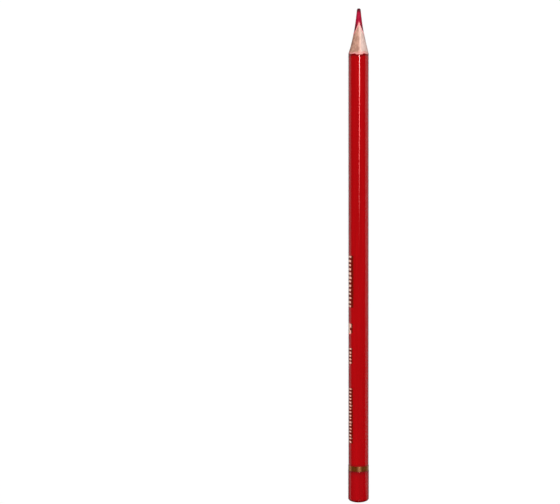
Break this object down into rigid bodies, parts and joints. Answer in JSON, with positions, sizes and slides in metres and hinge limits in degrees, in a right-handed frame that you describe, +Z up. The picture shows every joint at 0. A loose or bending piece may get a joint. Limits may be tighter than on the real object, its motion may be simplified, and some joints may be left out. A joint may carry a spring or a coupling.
{
  "type": "marking pencil",
  "caption": "Sharpened six-sided red marking pencil with a coloured core, wooden barrel, foil band and dipped end.",
  "frame": {"origin": "on the resting surface, under the middle of the pencil's length", "axes": "+Y along the pencil toward the sharpened tip, +Z up as the pencil lies on one flat, +X to the right seen from above with the tip away"},
  "size_m": [0.0076, 0.175, 0.0073],
  "materials": {
    "core": "waxy crimson pigment",
    "glue": "dried glue film",
    "wood_left": "bare sanded wood, darker slat",
    "wood_right": "bare sanded wood, paler slat",
    "primer": "pale matt undercoat",
    "lacquer": "glossy red lacquer",
    "foil": "hot-stamped gold foil",
    "dip": "glossy red dipped paint"
  },
  "bodies": {
    "root": {"lead_core": "core", "core_bond": "glue", "slat_left": "wood_left", "slat_right": "wood_right", "glue_seam_front": "glue", "glue_seam_back": "glue", "undercoat": "primer", "lacquer_coat": "lacquer", "gold_band": "foil", "end_dip_cap": "dip"}
  },
  "joints": []
}
